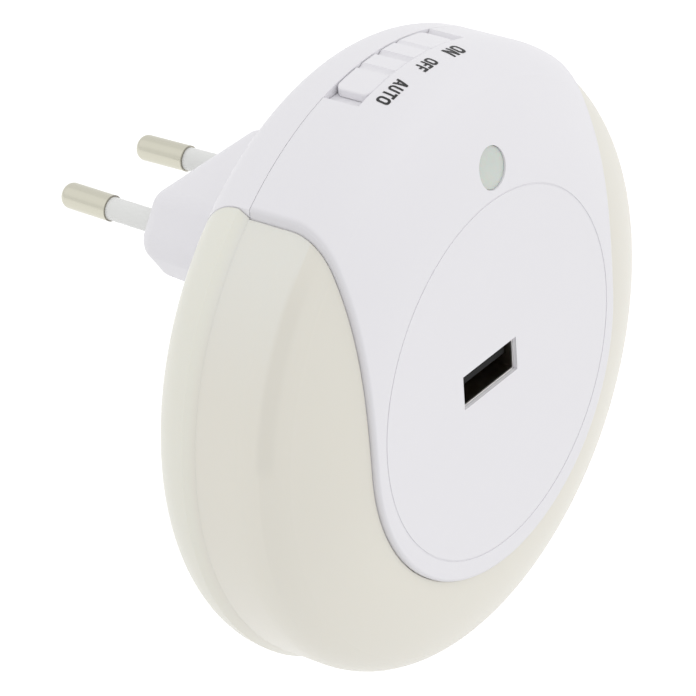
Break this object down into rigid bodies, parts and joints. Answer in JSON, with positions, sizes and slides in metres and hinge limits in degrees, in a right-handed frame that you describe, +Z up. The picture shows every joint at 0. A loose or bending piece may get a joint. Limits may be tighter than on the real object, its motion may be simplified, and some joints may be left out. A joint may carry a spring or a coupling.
{
  "type": "plug-in night light",
  "caption": "Round plug-in LED night light with a two-pin plug on its back, a glowing rim, a light sensor, a slide switch on top and a USB-A socket in its face.",
  "frame": {"origin": "middle of the plug face, between the two pins", "axes": "+Y into the wall, along the plug and the axis of the round body; +X to the right as seen from the front; +Z up"},
  "size_m": [0.0936, 0.0705, 0.0936],
  "materials": {
    "case_white": "fine satin moulded ABS",
    "knob_white": "satin moulded ABS",
    "diffuser_cream": "translucent cream polycarbonate",
    "window_green": "translucent grey-green acrylic",
    "pin_nickel": "satin nickel plating",
    "sleeve_white": "satin moulded nylon",
    "socket_steel": "nickel-plated pressed steel",
    "plastic_black": "moulded",
    "contact_gold": "gold flash",
    "board_green": "solder mask on glass epoxy",
    "switch_steel": "tinned pressed steel",
    "sensor_clear": "clear epoxy",
    "led_yellow": "phosphor in a white frame",
    "tray_white": "matte reflector white",
    "lead_brown": "PVC insulation",
    "lead_blue": "PVC insulation",
    "can_sleeve": "shrink sleeve",
    "film_yellow": "potted box",
    "fuse_green": "cement coating",
    "ferrite": "ground ferrite",
    "copper": "enamelled wire",
    "screw_steel": "zinc plated"
  },
  "bodies": {
    "case": {"front_cover": "case_white", "rear_housing": "case_white", "diffuser_front": "diffuser_cream", "diffuser_rear": "diffuser_cream", "sensor_window": "window_green", "pin_left": "pin_nickel", "pin_right": "pin_nickel", "pin_sleeve_left": "sleeve_white", "pin_sleeve_right": "sleeve_white", "usb_shell": "socket_steel", "usb_insulator": "plastic_black", "usb_contacts": "contact_gold", "main_board": "board_green", "slide_switch": "switch_steel", "light_sensor": "sensor_clear", "leds": "led_yellow", "reflector": "tray_white", "live_lead": "lead_brown", "neutral_lead": "lead_blue", "input_capacitors": "can_sleeve", "output_capacitor": "can_sleeve", "bridge_rectifier": "plastic_black", "switching_chip": "plastic_black", "output_diode": "plastic_black", "control_chip": "plastic_black", "small_resistors": "plastic_black", "suppression_capacitor": "film_yellow", "fuse_resistor": "fuse_green", "choke_core": "ferrite", "choke_winding": "copper", "transformer_core": "ferrite", "transformer_bobbin": "plastic_black", "transformer_winding": "copper", "case_screws": "screw_steel"},
    "knob": {"switch_knob": "knob_white", "switch_actuator": "plastic_black"}
  },
  "joints": [
    {"name": "switch_slide", "type": "slide", "parent": "case", "child": "knob", "axis": [1, 0, 0], "range_m": [-0.0015, 0.0015]}
  ]
}
